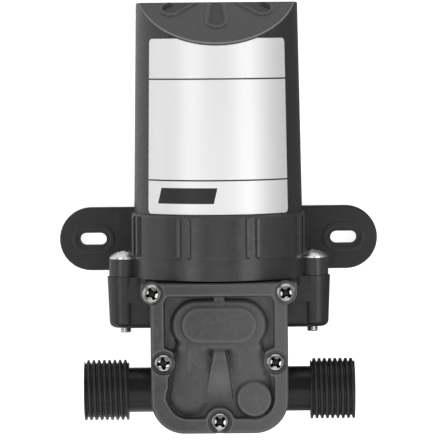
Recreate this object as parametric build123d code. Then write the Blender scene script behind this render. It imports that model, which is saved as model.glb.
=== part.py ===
from build123d import *
from math import atan, cos, degrees, pi, radians, sin, sqrt
import os

# Small diaphragm pump for a caravan's water system, in millimetres.
# It lies on its foot: Z up out of the mounting plane, the motor's axis along Y with the motor
# at +Y and the pump head at -Y, and the ports along X. The origin is midway between the
# two foot slots, on the mounting plane.

# Clearances, each between two named pieces
fit_gap = 0.02  # a part pressed or glued into its seat
running_gap = 0.05  # a shaft, ball or brush that runs
seat_gap = 0.10  # covers and spigots that slide together
magnet_gap = 0.60  # air between the armature and the magnets
hole_end_gap = 0.3  # room past the end of a screw or under its head
past = 1.0  # how far a cutting tool reaches past the face it cuts
beyond = 200.0  # a cutting tool that reaches past everything

# Mounting foot
foot_width = 113.5
foot_depth = 22.5
foot_thickness = 4.0
slot_spacing = 89.4
slot_length = 9.4
slot_width = 4.4
slot_rim_margin = 2.7
slot_rim_width = 1.3
slot_rim_height = 0.4
saddle_width = 46.0
saddle_height = 9.0
saddle_inset = 0.4
foot_screw_spacing = 34.0
foot_screw_radius = 1.75
foot_screw_head_radius = 3.2
foot_screw_head_height = 1.8
foot_screw_bite = 3.2
foot_screw_cross_width = 1.0
foot_screw_cross_length = 3.2
foot_edge = 0.6

# Motor axis and the collar that carries everything
under_collar = 1.4
collar_radius = 30.6
collar_rear = 10.9
collar_length = 22.3
collar_chamfer = 0.6
rib_chamfer = 0.6
collar_band = 14.8
collar_step = 1.0
rib_count = 8
rib_pair_pitch = 3.7
rib_width = 1.25
rib_height = 0.8
rib_length = 14.7
lug_overhang = 2.0
lug_radius = 5.7
lug_length = 6.1
web_reach = 11.4
flange_recess_radius = 18.4
bearing_lip = 1.0
bearing_lip_radius = 8.0
crank_recess_radius = 14.0

# Shroud over the motor, a tapered cup with two slanted faces on its closed end
shroud_length = 72.9
shroud_step = 1.3
shroud_taper = 1.2
shroud_wall = 1.8
facet_offset = 8.0
facet_slope = 0.7
petal_tip_radius = 1.9
petal_round_radius = 3.0
petal_length = 12.4
petal_start = 7.9
petal_spread = 51.0
petal_edge = 0.8
petal_height = 0.5
petal_depth = 0.5
petal_drop = 1.2
slant_edge = 0.6
spigot_length = 3.0
seal_radius = 0.7
label_angle = 108.0
label_thickness = 0.2
label_glue = 0.12
label_start = 0.5
label_end_gap = 12.5
label_corner = 1.5
label_edge_gap = 0.5
grommet_radius = 4.5
grommet_flange_radius = 6.0
grommet_flange = 1.2
lead_hole_radius = 1.1
lead_spacing = 4.0
grommet_offset = 17.0

# Motor
can_side_room = 4.3
can_wall = 1.6
can_rear_room = 17.8
can_seat = 2.9
can_edge = 1.2
shaft_radius = 3.0
shaft_tail = 5.0
bush_radius = 6.0
bush_length = 5.5
bush_cup_wall = 1.4
turned_chamfer = 0.4  # on the ends of the shaft and the bush
magnet_thickness = 5.6
magnet_angle = 130.0
magnet_front_room = 14.0
magnet_rear_room = 6.0
core_front_room = 17.0
core_rear_room = 9.0
core_slots = 10
core_hub_radius = 9.0
core_slot_width = 3.4
core_mouth_width = 1.6
core_lip = 1.5
winding_overhang = 4.0
winding_inner_radius = 5.5
winding_gap = 0.3
winding_round = 1.5
commutator_radius = 8.0
commutator_room = 3.5
commutator_length = 9.0
commutator_bars = 10
commutator_slot = 0.5
commutator_slot_depth = 1.2
brush_width = 5.0
brush_height = 4.0
brush_box_gap = 1.2
brush_spring_room = 5.0
brush_box_wall = 1.0
brush_plate_thickness = 2.5
brush_plate_hole = 11.0
brush_box_inset = 2.4
brush_spring_radius = 1.7
brush_spring_wire = 0.35
brush_spring_turns = 4
tie_bolt_radius = 1.5
tie_bolt_inset = 2.0
tie_bolt_head_radius = 2.7
tie_bolt_head = 1.8
tie_bolt_bite = 5.0

# Front bearing, 6 x 19 x 6
front_bearing_outer = 9.5
front_bearing_width = 6.0
front_ball_radius = 1.75
front_ball_count = 7

# Crank and rod, with a 10 x 19 x 5 bearing
chamber_reach = 15.0
throw = 1.2
hub_radius = 7.0
hub_length = 6.4
crank_pin_radius = 5.0
crank_shoulder_radius = 6.0
rod_bearing_outer_radius = 9.5
rod_bearing_width = 5.0
rod_ball_radius = 1.35
rod_ball_count = 9
crank_shoulder = 2.0
pin_overhang = 1.5
clip_thickness = 0.8
clip_height = 0.9
clip_opening = 2.4
grub_radius = 1.5
grub_depth_in_hub = 0.4
grub_socket_size = 1.5
grub_socket_depth = 1.5
rod_ring_wall = 2.0
crossbar_depth = 8.0
crossbar_thickness = 3.6
pad_height = 2.4
pad_radius = 4.6

# Pump chambers, two side by side
chamber_spacing = 16.3
piston_radius = 5.0
piston_thickness = 2.0
piston_screw_radius = 1.4
piston_screw_head = 2.6
piston_screw_floor = 0.8  # left under its end in the crossbar
piston_screw_cross_width = 0.7
piston_screw_cross_length = 2.8
piston_screw_cross_depth = 0.9
chamber_wall_gap = 1.9
diaphragm_thickness = 1.4
diaphragm_margin = 4.2

# Pump body
body_width = 46.9
body_rise = 14.0
body_length = 30.4
body_shell_inset = 0.05
body_cavity_wall = 4.4
body_front_wall = 5.8
deck_thickness = 3.0
deck_slot_gap = 0.15
mate_flange_inset = 1.6
mate_flange_length = 3.0
tower_taper = 0.7
tower_depth = 17.9
tower_radius = 6.3
tower_step = 8.9
tower_upper_web = 6.0
tower_lower_web = 4.2
tower_corner = 2.2
shelf_thickness = 8.0
shelf_inset = 0.6

# Port housing with G 1/2 outside-threaded ports
port_reach = 38.4
port_rise = 14.0
port_span = 93.2
port_thread_radius = 10.4775
port_thread_length = 15.3
port_neck_radius = 7.7
port_bore_radius = 6.0
port_bore_depth = 22.0
port_way_radius = 4.4
port_chamfer = 1.0
port_rib_wall = 14.0
housing_rise = 8.0
housing_drop = 9.0
roof_thickness = 3.0
valve_radius = 2.6
valve_pitch = 6.8
valve_disc = 0.6
valve_stem_radius = 0.8
valve_seat_gap = 0.1
valve_knob = 0.3
valve_knob_length = 0.5
valve_rim_gap = 0.3
valve_port_radius = 0.55
valve_port_circle = 1.6

# Head cover
gasket_thickness = 0.8
cover_thickness = 7.2
cover_gap = 0.6
cover_length = 51.5
cover_corner = 11.5
cover_ear_radius = 3.9
cover_edge = 0.8
rim_width = 4.7
lower_left_rim = 5.9
recess_depth = 3.6
recess_upper_rim = 4.5
recess_lower_rim = 5.2
recess_corner = 2.0
stadium_width = 32.6
stadium_depth = 17.2
stadium_height = 2.6
pad_width = 25.6
pad_depth = 12.1
pad_step = 0.8
disc_step = 0.7
web_width = 3.4
web_drop = 0.4
left_channel_round = 2.4
right_channel_round = 2.2
stadium_round = 1.6
raised_round = 0.6
wedge_height = 2.1
gallery_width = 4.6
gallery_depth = 3.4
gallery_side = 14.2
gallery_side_width = 3.6
drop_radius = 4.0

# Forms on the cover: x, y measured from the cover's upper edge, and a radius
left_channel_top_spot = (-8.9, -22.5, 6.0)
left_channel_end_spot = (-11.1, -38.7, 6.8)
right_channel_top_spot = (8.9, -22.5, 5.9)
disc_end_spot = (11.8, -39.8, 6.5)
wedge_top_spot = (0.0, -23.6, 2.2)
wedge_bottom_spot = (0.0, -41.0, 4.5)

# Screws, the head's five by x and y from the cover's upper edge
head_screw_spots = [(-22.8, -3.35), (22.8, -3.35), (-19.15, -27.2), (19.15, -27.2), (0.0, -47.4)]
head_screw_turns = [24.0, 52.0, 8.0, 35.0, 40.0]
head_screw_radius = 1.9
head_screw_head = 3.25
head_screw_head_height = 2.3
head_screw_bite = 11.0
lower_screw_floor = 1.5
upper_counterbore = 0.4
lower_counterbore = 1.5
counterbore_radius = 3.95
boss_radius = 5.0
cross_width = 1.1
cross_length = 4.0
cross_depth = 1.3
flange_bolt_radius = 2.0
flange_bolt_head = 5.5
flange_bolt_head_height = 3.0
flange_bolt_head_rim = 0.7
flange_bolt_tip = 1.8

# Worked out from the sizes above
axis_height = collar_radius + under_collar
collar_front = collar_rear - collar_length
lug_spacing = 2 * (collar_radius + lug_overhang)
web_rear = collar_front + web_reach
shroud_base_radius = collar_radius - shroud_step
shroud_end_radius = shroud_base_radius - shroud_taper
shroud_end = collar_rear + shroud_length
slant_reach = facet_slope * shroud_end_radius
label_end = shroud_length - label_end_gap
spigot_radius = shroud_base_radius - shroud_wall - seat_gap

can_radius = shroud_base_radius - can_side_room
can_inner_radius = can_radius - can_wall
can_end = shroud_end - can_rear_room
can_front = collar_rear - can_seat
shaft_rear = can_end + shaft_tail
magnet_inner_radius = can_inner_radius - magnet_thickness
magnet_start = can_front + magnet_front_room
magnet_length = can_end - magnet_rear_room - magnet_start
core_radius = magnet_inner_radius - magnet_gap
core_start = can_front + core_front_room
core_length = can_end - core_rear_room - core_start
commutator_start = can_front + commutator_room
brush_box_end = can_inner_radius - brush_box_inset
brush_length = brush_box_end - brush_box_wall - commutator_radius - brush_spring_room
tie_bolt_circle = can_inner_radius - tie_bolt_inset

chamber_y = collar_front - chamber_reach
crank_height = axis_height - throw
crank_start = chamber_y + rod_bearing_width / 2 + crank_shoulder
crank_end = chamber_y - rod_bearing_width / 2 - pin_overhang
body_top = axis_height + body_rise
body_front = collar_front - body_length
body_shell_radius = body_width / 2 - body_shell_inset
body_cavity_radius = body_shell_radius - body_cavity_wall
body_cavity_end = body_front + body_front_wall
mate_flange_radius = collar_radius - mate_flange_inset
tower_angle = degrees(atan(tower_taper / tower_depth))
diaphragm_top = body_top + diaphragm_thickness
pad_top = body_top - throw
crossbar_top = pad_top - pad_height
chamber_radius_bore = piston_radius + chamber_wall_gap

housing_top = body_top + housing_rise
housing_bottom = body_top - housing_drop
chamber_roof = housing_top - roof_thickness
valve_stem_length = roof_thickness - valve_disc - valve_seat_gap - valve_knob_length
port_y = collar_front - port_reach
port_z = axis_height + port_rise
port_root = port_span / 2 - port_thread_length
cover_back = housing_top + gasket_thickness
cover_front = cover_back + cover_thickness
cover_top_y = collar_front - cover_gap
cover_bottom_y = cover_top_y - cover_length
recess_top = cover_top_y - recess_upper_rim
recess_bottom = cover_bottom_y + recess_lower_rim
recess_floor = cover_front - recess_depth
raised_top = recess_floor + stadium_height


def from_cover_top(spot):
    """The spot with its y measured from the origin instead of the cover's upper edge."""
    return (spot[0], cover_top_y + spot[1], *spot[2:])


left_channel_top = from_cover_top(left_channel_top_spot)
left_channel_end = from_cover_top(left_channel_end_spot)
right_channel_top = from_cover_top(right_channel_top_spot)
disc_end = from_cover_top(disc_end_spot)
wedge_top = from_cover_top(wedge_top_spot)
wedge_bottom = from_cover_top(wedge_bottom_spot)
head_screw_places = [from_cover_top(spot) for spot in head_screw_spots]

def across(y, height=axis_height):
    """Plane square to the motor's axis, seen from the pump's side; it extrudes towards -Y."""
    return Plane(origin=(0, y, height), x_dir=(1, 0, 0), z_dir=(0, -1, 0))


def level(z):
    """Plane parallel to the mounting plane; it extrudes upwards."""
    return Plane(origin=(0, 0, z))


def disc_along(radius, y, length, height=axis_height):
    """Cylinder on the motor's axis from y towards the pump."""
    return extrude(across(y, height) * Circle(radius), length)


def tube_along(outer, inner, y, length, height=axis_height):
    """Ring on the motor's axis from y towards the pump."""
    return extrude(across(y, height) * (Circle(outer) - Circle(inner)), length)


def post(x, y, radius, bottom, top):
    """Upright cylinder."""
    return extrude(level(bottom) * Pos(x, y) * Circle(radius), top - bottom)


def block(x_range, y_range, z_range):
    """Box between two corners."""
    size = [high - low for low, high in (x_range, y_range, z_range)]
    middle = [(low + high) / 2 for low, high in (x_range, y_range, z_range)]
    return Pos(*middle) * Box(*size)


def turned(points):
    """Solid of revolution on the motor's axis from points (radius, y)."""
    outline = [(radius, y) for radius, y in points]
    profile = Plane.XY * make_face(Polyline(outline, close=True))
    return Pos(0, 0, axis_height) * revolve(profile, Axis.Y)


def mirrored(shape):
    """The shape's twin on the other side of the motor's axis."""
    return mirror(shape, Plane.YZ)


def slot_along_x(x, y, length, width):
    """Sketch of a slot with round ends, its length along X."""
    return Pos(x, y) * SlotOverall(length, width)


def blend_of(first, second):
    """Sketch of two circles (x, y, radius) and all that lies between their tangents."""
    rounds = [Pos(x, y) * Circle(radius) for x, y, radius in (first, second)]
    return make_hull((rounds[0] + rounds[1]).edges())


def facet_plane(side, inset=0.0):
    """Slanted end face of the shroud; side 1 is the front and -1 the back, inset goes inwards."""
    tilt = sqrt(1 + facet_slope**2)
    normal = Vector(0, 1, side * facet_slope) / tilt
    start = Vector(0, shroud_end, axis_height + side * facet_offset) - normal * inset
    return Plane(origin=start, x_dir=(1, 0, 0), z_dir=normal)


def shroud_form(inset):
    """Tapered plug with the two slanted faces, its skin moved inwards by inset."""
    lowest = collar_rear - (past if inset else 0.0)
    end = shroud_end - inset
    taper = (shroud_base_radius - shroud_end_radius) / shroud_length
    base = shroud_base_radius - inset + taper * (collar_rear - lowest)
    top = shroud_base_radius - inset - taper * (end - collar_rear)
    form = turned([(0, lowest), (base, lowest), (top, end), (0, end)])
    for side in (1, -1):
        plane = facet_plane(side, inset)
        form -= extrude(plane * Rectangle(beyond, beyond), beyond)
    return form


def petal_sketch(grow):
    """Teardrop that widens away from the shroud's end, with its outline moved outwards by grow."""
    tip = (0, 0, petal_tip_radius + grow)
    wide = (0, petal_length, petal_round_radius + grow)
    return blend_of(tip, wide)


def make_motor_shroud():
    shroud = shroud_form(0) - shroud_form(shroud_wall)
    rims = shroud.edges().filter_by(lambda e: e.bounding_box().min.Y > shroud_end - slant_reach)
    outer_rims = [e for e in rims if on_outer_skin(e)]
    shroud = fillet(outer_rims, slant_edge)
    front = facet_plane(1)
    for turn in (-petal_spread, 0, petal_spread):
        # The petals point away from the motor's axis, which lies above the slanted face.
        aim = front * Pos(0, facet_offset * sqrt(1 + facet_slope**2) - petal_drop)
        place = aim * Rot(0, 0, 180 + turn) * Pos(0, petal_start)
        ring = petal_sketch(petal_edge) - petal_sketch(0)
        lowered = extrude(place * petal_sketch(0), -petal_depth)
        raised = extrude(place * ring, petal_height)
        shroud = shroud + (raised & shroud_skin_room()) - lowered
    shroud -= grommet_hole(grommet_radius)
    return shroud


def on_outer_skin(edge):
    """True for the edges round the slanted faces' outside, not those of the hollow."""
    point = edge.position_at(0.5)
    reach = sqrt(point.X**2 + (point.Z - axis_height) ** 2)
    taper = (shroud_base_radius - shroud_end_radius) / shroud_length
    skin = shroud_base_radius - taper * (point.Y - collar_rear)
    return abs(reach - skin) < 0.05 or abs(point.Y - shroud_end) < 0.05


def shroud_skin_room():
    """Space that the raised petal edges may fill: nothing above the end or outside the taper."""
    return turned([(0, 0), (shroud_base_radius, 0), (shroud_end_radius - slant_edge, shroud_end),
                   (0, shroud_end)])


def grommet_place():
    """Plane on the shroud's rear slanted face, where the motor's leads come out."""
    return facet_plane(-1) * Pos(0, grommet_offset - facet_offset)


def grommet_hole(radius):
    return extrude(grommet_place() * Circle(radius), -2 * shroud_wall)


def make_cable_grommet():
    plane = grommet_place()
    sleeve = extrude(plane * Circle(grommet_radius - fit_gap), -shroud_wall - grommet_flange)
    outside = extrude(plane * Circle(grommet_flange_radius), grommet_flange)
    inside = extrude(plane * Pos(0, 0, -shroud_wall) * Circle(grommet_flange_radius), -grommet_flange)
    outside = fillet(outside.edges().sort_by(Axis.Y)[-1:], 0.5)
    grommet = sleeve + outside + inside
    for side in (-1, 1):
        hole = Pos(side * lead_spacing / 2, 0) * Circle(lead_hole_radius)
        grommet -= extrude(plane * hole, shroud_wall + 2 * grommet_flange, both=True)
    return grommet


def make_rating_label():
    taper = (shroud_base_radius - shroud_end_radius) / shroud_length
    first = collar_rear + label_start
    last = collar_rear + label_end

    def skin(y):
        return shroud_base_radius + label_glue - taper * (y - collar_rear)

    strip = [(skin(first), first), (skin(first) + label_thickness, first),
             (skin(last) + label_thickness, last), (skin(last), last)]
    profile = Plane.XY * make_face(Polyline(strip, close=True))
    whole = revolve(profile, Axis.Y, revolution_arc=label_angle)
    corners = [e for e in whole.edges() if e.length < 2 * label_thickness]
    whole = fillet(corners, label_corner)
    whole = Pos(0, 0, axis_height) * Rot(0, -90 - label_angle / 2, 0) * whole
    front = facet_plane(1, label_edge_gap)
    whole -= extrude(front * Rectangle(beyond, beyond), beyond)
    return whole


def make_shroud_seal():
    ring_radius = spigot_radius - seal_radius
    place = Plane(origin=(0, collar_rear + spigot_length / 2, axis_height), z_dir=(0, 1, 0))
    return place * Torus(ring_radius, seal_radius)


def make_motor_flange():
    flange = collar_form(0)
    flange = chamfer(flange.edges().group_by(Axis.Y)[-1], collar_chamfer)
    flange += disc_along(spigot_radius, collar_rear + spigot_length, spigot_length)
    groove = tube_along(spigot_radius + past, spigot_radius - 2 * seal_radius,
                        collar_rear + spigot_length / 2 + seal_radius, 2 * seal_radius)
    flange -= groove
    for number in range(rib_count):
        middle = 360 / rib_count * (number + 0.5)
        if sin(radians(middle)) > -0.8:
            flange += rib_pair(middle)
    for side in (-1, 1):
        flange += lug(side)
    flange -= disc_along(can_radius + seat_gap, collar_rear + spigot_length,
                         collar_rear + spigot_length - can_front)
    flange -= disc_along(flange_recess_radius, can_front, can_front - web_rear)
    flange -= disc_along(front_bearing_outer + fit_gap, web_rear, front_bearing_width)
    flange -= disc_along(bearing_lip_radius, web_rear, collar_length)
    lip_front = web_rear - front_bearing_width - bearing_lip
    flange -= disc_along(crank_recess_radius, lip_front, collar_length)
    for side in (-1, 1):
        flange -= lug_hole(side)
        flange -= bolt_channel(side)
        flange -= foot_screw_hole(side)
        flange -= extrude(across(can_front) * Pos(0, side * tie_bolt_circle) * Circle(tie_bolt_radius),
                          tie_bolt_bite + hole_end_gap)
    return flange


def collar_form(grow):
    """Ribbed band and the narrower ring in front of it, moved outwards by grow."""
    band = disc_along(collar_radius + grow, collar_rear, collar_band + grow)
    ring_radius = collar_radius - collar_step + grow
    return band + disc_along(ring_radius, collar_rear - collar_band, collar_length - collar_band)


def rib_pair(middle):
    """Two thin ribs along the collar, either side of the angle middle."""
    pair = Part()
    for side in (-0.5, 0.5):
        rib = block((collar_radius - 1, collar_radius + rib_height),
                    (collar_rear - rib_length, collar_rear - collar_chamfer),
                    (side * rib_pair_pitch - rib_width / 2, side * rib_pair_pitch + rib_width / 2))
        ends = rib.edges().filter_by(Axis.Z).group_by(Axis.X)[-1]
        rib = chamfer(ends, rib_chamfer)
        pair += Pos(0, 0, axis_height) * Rot(0, -middle, 0) * rib
    return pair


def lug_outline(side, radius):
    middle = side * lug_spacing / 2
    web = Pos(middle - side * radius, 0) * Rectangle(2 * radius, 1.5 * radius)
    return Pos(middle, 0) * Circle(radius) + web


def lug(side):
    return extrude(across(collar_front + lug_length) * lug_outline(side, lug_radius), lug_length)


def lug_hole(side):
    place = across(collar_front + lug_length + past) * Pos(side * lug_spacing / 2, 0)
    return extrude(place * Circle(flange_bolt_radius + seat_gap), lug_length + 2 * past)


def bolt_channel(side):
    """Room for the bolt's head and the driver along the collar's side."""
    start = collar_rear + spigot_length + past
    place = across(start) * Pos(side * lug_spacing / 2, 0)
    length = start - (collar_front + lug_length)
    return extrude(place * Circle(flange_bolt_head + seat_gap), length)


def make_flange_bolts():
    bolts = Part()
    for side in (-1, 1):
        place = across(collar_front + lug_length) * Pos(side * lug_spacing / 2, 0)
        shank_length = lug_length + tower_depth + flange_bolt_tip
        shank = extrude(place * Circle(flange_bolt_radius), shank_length)
        shank = chamfer(shank.edges().group_by(Axis.Y)[0], 0.5)
        bolts += shank + place * domed_head(flange_bolt_head, flange_bolt_head_height, flange_bolt_head_rim)
    return bolts


def domed_head(radius, height, rim):
    """Screw head below its plane: a rim of that height under a spherical cap."""
    dome = height - rim
    sphere_radius = (radius**2 + dome**2) / (2 * dome)
    cap = Pos(0, 0, sphere_radius - height) * Sphere(sphere_radius)
    return extrude(Circle(radius), -height) & cap


def foot_screw_hole(side):
    x = side * foot_screw_spacing / 2
    return post(x, 0, foot_screw_radius, -past, foot_screw_top())


def foot_screw_top():
    """Where the foot screws end, inside the collar's wall."""
    half = foot_screw_spacing / 2
    return axis_height - sqrt(collar_radius**2 - half**2) + foot_screw_bite


def make_mounting_foot():
    foot = extrude(level(0) * SlotOverall(foot_width, foot_depth), foot_thickness)
    foot = fillet(foot.faces().sort_by(Axis.Z)[-1].edges(), foot_edge)
    half = saddle_width / 2
    reach = foot_depth / 2 - saddle_inset
    saddle = block((-half, half), (-reach, reach), (foot_thickness / 8, saddle_height))
    saddle = fillet(saddle.edges().filter_by(Axis.Y).group_by(Axis.Z)[-1], 1.0)
    foot += saddle
    for side in (-1, 1):
        place = Pos(side * slot_spacing / 2, 0)
        margin = 2 * slot_rim_margin
        rim = SlotOverall(slot_length + margin, slot_width + margin)
        margin -= 2 * slot_rim_width
        rim -= SlotOverall(slot_length + margin, slot_width + margin)
        foot += extrude(level(foot_thickness) * place * rim, slot_rim_height)
        foot -= extrude(level(-past) * place * SlotOverall(slot_length, slot_width), beyond)
        x = side * foot_screw_spacing / 2
        foot -= post(x, 0, foot_screw_radius + seat_gap, -past, saddle_height + past)
        foot -= post(x, 0, foot_screw_head_radius + seat_gap, -past, foot_screw_head_height + hole_end_gap)
    foot -= collar_form(fit_gap)
    foot -= disc_along(collar_radius + fit_gap, foot_depth, foot_depth - collar_rear + past)
    return foot


def make_foot_screws():
    screws = Part()
    bottom = hole_end_gap
    for side in (-1, 1):
        x = side * foot_screw_spacing / 2
        shank = post(x, 0, foot_screw_radius - fit_gap, bottom, foot_screw_top() - hole_end_gap)
        head = post(x, 0, foot_screw_head_radius, bottom, bottom + foot_screw_head_height)
        cross = cross_recess(foot_screw_cross_width, foot_screw_cross_length)
        screws += shank + head - extrude(level(bottom) * Pos(x, 0) * cross, 1.0)
    return screws


def make_motor_can():
    can = tube_along(can_radius, can_inner_radius, can_end, can_end - can_front)
    can += disc_along(can_radius, can_end, can_wall)
    can = fillet(can.edges().group_by(Axis.Y)[-1], can_edge)
    cup_end = can_end + bush_length + bush_cup_wall
    can += disc_along(bush_radius + bush_cup_wall, cup_end, bush_length + bush_cup_wall)
    can -= disc_along(bush_radius + fit_gap, can_end + bush_length, bush_length + can_wall + past)
    for side in (-1, 1):
        place = across(can_end + past) * Pos(0, side * tie_bolt_circle)
        can -= extrude(place * Circle(tie_bolt_radius + seat_gap), can_wall + 2 * past)
    return can


def make_rear_bush():
    bush = tube_along(bush_radius, shaft_radius + running_gap, can_end + bush_length, bush_length)
    return chamfer(bush.edges().group_by(Axis.Y)[0], turned_chamfer)


def make_field_magnets():
    magnets = Part()
    for middle in (0, 180):
        ring = Circle(can_inner_radius - fit_gap) - Circle(magnet_inner_radius)
        reach = 2 * can_radius
        half = radians(magnet_angle / 2)
        wedge = Polygon((0, 0), (reach * cos(half), -reach * sin(half)),
                        (reach * cos(half), reach * sin(half)), align=None)
        arc = ring & wedge
        magnets += extrude(across(magnet_start + magnet_length) * Rot(0, 0, middle) * arc, magnet_length)
    return magnets


def make_tie_bolts():
    bolts = Part()
    for side in (-1, 1):
        place = across(can_end) * Pos(0, side * tie_bolt_circle)
        shank = extrude(place * Circle(tie_bolt_radius - fit_gap), can_end - can_front + tie_bolt_bite)
        head = extrude(place * Circle(tie_bolt_head_radius), -tie_bolt_head)
        bolts += shank + head
    return bolts


def make_armature_core():
    core = tube_along(core_radius, shaft_radius + fit_gap, core_start + core_length, core_length)
    for number in range(core_slots):
        core -= core_slot(number, 0)
    return core


def core_slot(number, inset):
    """Slot between two armature teeth, narrow at its mouth."""
    deep = core_radius - core_lip
    pocket_length = deep - core_hub_radius - 2 * inset
    pocket = Pos((deep + core_hub_radius) / 2, 0) * Rectangle(pocket_length, core_slot_width - 2 * inset)
    shape = pocket
    if not inset:
        shape += Pos(core_radius - core_lip / 2, 0) * Rectangle(core_lip + 2 * past, core_mouth_width)
    turn = Rot(0, 0, 360 / core_slots * number)
    overlap = 0.01
    start = core_start + core_length + overlap
    return extrude(across(start) * turn * shape, core_length + 2 * overlap)


def make_armature_winding():
    """Copper in the slots, joined by the overhang at both ends of the core."""
    outer = core_radius - core_lip - winding_gap
    winding = Part()
    for number in range(core_slots):
        winding += core_slot(number, winding_gap)
    for start in (core_start + core_length + winding_overhang, core_start):
        end_turns = tube_along(outer, winding_inner_radius, start, winding_overhang)
        winding += end_turns
    far = winding.edges().filter_by(GeomType.CIRCLE).group_by(Axis.Y)
    winding = fillet([e for e in far[0] + far[-1] if e.radius > core_hub_radius], winding_round)
    return winding


def make_commutator():
    commutator = tube_along(commutator_radius, shaft_radius + fit_gap,
                            commutator_start + commutator_length, commutator_length)
    for number in range(commutator_bars):
        cut = Pos(commutator_radius, 0) * Rectangle(2 * commutator_slot_depth, commutator_slot)
        turn = Rot(0, 0, 360 / commutator_bars * (number + 0.5))
        commutator -= extrude(across(commutator_start + commutator_length + past) * turn * cut,
                              commutator_length + 2 * past)
    return commutator


def make_motor_shaft():
    length = shaft_rear - crank_end - hole_end_gap
    shaft = disc_along(shaft_radius, shaft_rear, length)
    ends = shaft.edges().filter_by(GeomType.CIRCLE)
    return chamfer(ends, turned_chamfer)


def brush_centre():
    return commutator_start + commutator_length / 2


def brush_box_side(side):
    """Open brass box in which one brush slides towards the commutator."""
    start = commutator_radius + brush_box_gap
    outer = [brush_width + 2 * brush_box_wall + 2 * running_gap,
             brush_height + 2 * brush_box_wall + 2 * running_gap]
    x_range = sorted((side * start, side * brush_box_end))
    low = can_front + brush_plate_thickness
    high = brush_centre() + outer[0] / 2
    return block(x_range, (low - 0.5, high), (axis_height - outer[1] / 2, axis_height + outer[1] / 2))


def brush_channel(side):
    half_width = brush_width / 2 + running_gap
    half_height = brush_height / 2 + running_gap
    x_range = sorted((side * commutator_radius, side * (brush_box_end - brush_box_wall)))
    y_range = (brush_centre() - half_width, brush_centre() + half_width)
    return block(x_range, y_range, (axis_height - half_height, axis_height + half_height))


def make_brush_plate():
    plate = tube_along(can_inner_radius - seat_gap, brush_plate_hole,
                       can_front + brush_plate_thickness, brush_plate_thickness)
    for side in (-1, 1):
        plate += brush_box_side(side)
    for side in (-1, 1):
        plate -= brush_channel(side)
        place = across(can_front + brush_plate_thickness + past) * Pos(0, side * tie_bolt_circle)
        plate -= extrude(place * Circle(tie_bolt_radius + seat_gap), brush_plate_thickness + 2 * past)
    plate -= disc_along(commutator_radius + brush_box_gap, can_end, can_end - can_front + past)
    return plate


def make_carbon_brushes():
    brushes = Part()
    start = commutator_radius + running_gap
    for side in (-1, 1):
        x_range = sorted((side * (start - past), side * (start + brush_length)))
        y_range = (brush_centre() - brush_width / 2, brush_centre() + brush_width / 2)
        z_range = (axis_height - brush_height / 2, axis_height + brush_height / 2)
        brushes += block(x_range, y_range, z_range)
    return brushes - disc_along(start, can_end, can_end - can_front)


def make_brush_springs():
    springs = Part()
    inner = commutator_radius + running_gap + brush_length
    outer = brush_box_end - brush_box_wall
    length = outer - inner - 2 * (brush_spring_wire + running_gap)
    first = inner + brush_spring_wire + running_gap
    for side in (-1, 1):
        path = Helix(pitch=length / brush_spring_turns, height=length, radius=brush_spring_radius,
                     center=(0, 0, 0), direction=(0, 0, 1))
        section = Plane(origin=path @ 0, z_dir=path % 0) * Circle(brush_spring_wire)
        spring = sweep(section, path)
        place = Plane(origin=(side * first, brush_centre(), axis_height), z_dir=(side, 0, 0))
        springs += place * spring
    return springs


def bearing_parts(bore, outer, width, ball_radius, balls, y_middle, height):
    """Deep-groove ball bearing on an axis along Y: outer ring, balls and inner ring."""
    pitch = (bore + outer) / 2
    start = y_middle + width / 2
    land = 0.35 * (outer - bore) / 2
    place = Plane(origin=(0, y_middle, height), z_dir=(0, 1, 0))
    groove = place * Torus(pitch, ball_radius + running_gap)
    outer_ring = tube_along(outer, pitch + land, start, width, height) - groove
    inner_ring = tube_along(pitch - land, bore + fit_gap, start, width, height) - groove
    ball_set = Part()
    for number in range(balls):
        angle = 2 * pi * number / balls
        ball_set += Pos(pitch * cos(angle), y_middle, height + pitch * sin(angle)) * Sphere(ball_radius)
    return outer_ring, ball_set, inner_ring


def make_front_bearing():
    middle = web_rear - front_bearing_width / 2
    return bearing_parts(shaft_radius, front_bearing_outer, front_bearing_width,
                         front_ball_radius, front_ball_count, middle, axis_height)


def make_rod_bearing():
    return bearing_parts(crank_pin_radius, rod_bearing_outer_radius, rod_bearing_width,
                         rod_ball_radius, rod_ball_count, chamber_y, crank_height)


def make_eccentric():
    hub_start = crank_start + hub_length
    eccentric = disc_along(hub_radius, hub_start, hub_length)
    shoulder = crank_start - chamber_y - rod_bearing_width / 2
    eccentric += disc_along(crank_shoulder_radius, crank_start, shoulder, crank_height)
    eccentric += disc_along(crank_pin_radius, crank_start, crank_start - crank_end, crank_height)
    clip_start = chamber_y - rod_bearing_width / 2 - seat_gap
    eccentric -= tube_along(crank_pin_radius + past, crank_pin_radius - clip_height / 2,
                            clip_start, clip_thickness, crank_height)
    eccentric -= disc_along(shaft_radius + fit_gap, hub_start + past, hub_start - crank_end + 2 * past)
    eccentric -= grub_place(hub_radius + past)
    return eccentric


def grub_place(reach, radius=grub_radius):
    """Cylinder from the shaft's skin out to reach, along +X at the hub's middle."""
    middle = crank_start + hub_length / 2
    plane = Plane(origin=(0, middle, axis_height), z_dir=(1, 0, 0))
    hole = extrude(plane * Circle(radius), reach)
    return hole - disc_along(shaft_radius + fit_gap, middle + reach, 2 * reach)


def make_eccentric_screw():
    middle = crank_start + hub_length / 2
    outer_end = hub_radius - grub_depth_in_hub
    screw = grub_place(outer_end, grub_radius - fit_gap)
    plane = Plane(origin=(outer_end, middle, axis_height), z_dir=(1, 0, 0))
    socket = RegularPolygon(grub_socket_size / 2, 6, major_radius=False)
    return screw - extrude(plane * socket, -grub_socket_depth)


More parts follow.
